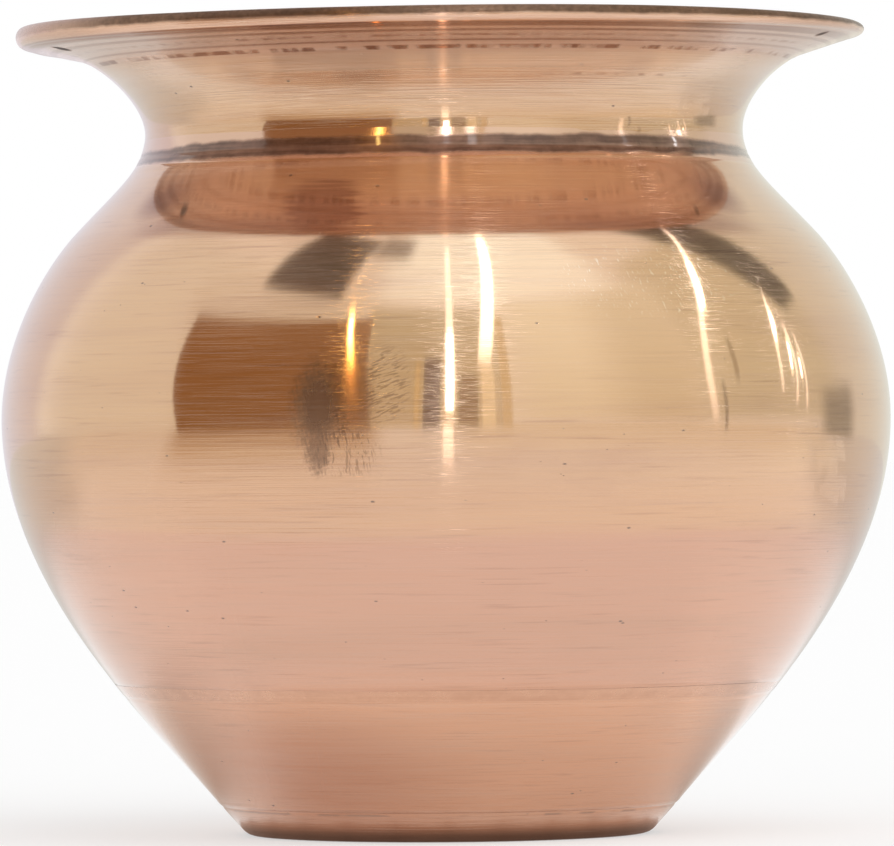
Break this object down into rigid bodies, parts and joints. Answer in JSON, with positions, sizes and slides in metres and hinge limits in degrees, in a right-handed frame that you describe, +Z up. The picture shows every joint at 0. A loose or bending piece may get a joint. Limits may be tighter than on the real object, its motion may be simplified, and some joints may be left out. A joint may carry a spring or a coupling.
{
  "type": "kalash pot",
  "caption": "Round-bellied copper kalash pot with a conical foot, a brazed seam under a narrow throat and a wide flared mouth with a rolled rim, for holding and pouring water.",
  "frame": {"origin": "middle of the flat foot, on the plane that the pot stands on", "axes": "+Z up along the pot's axis, out of the mouth; X and Y are free, because the pot is round"},
  "size_m": [0.11, 0.11, 0.1002],
  "materials": {
    "base_cup": "satin",
    "belly_shell": "gloss",
    "neck_collar": "gloss",
    "rim_wire": "satin",
    "throat_braze": "satin",
    "lower_braze": "satin"
  },
  "bodies": {
    "root": {"base_cup": "base_cup", "belly_shell": "belly_shell", "neck_collar": "neck_collar", "rim_wire": "rim_wire", "throat_braze": "throat_braze", "lower_braze": "lower_braze"}
  },
  "joints": []
}
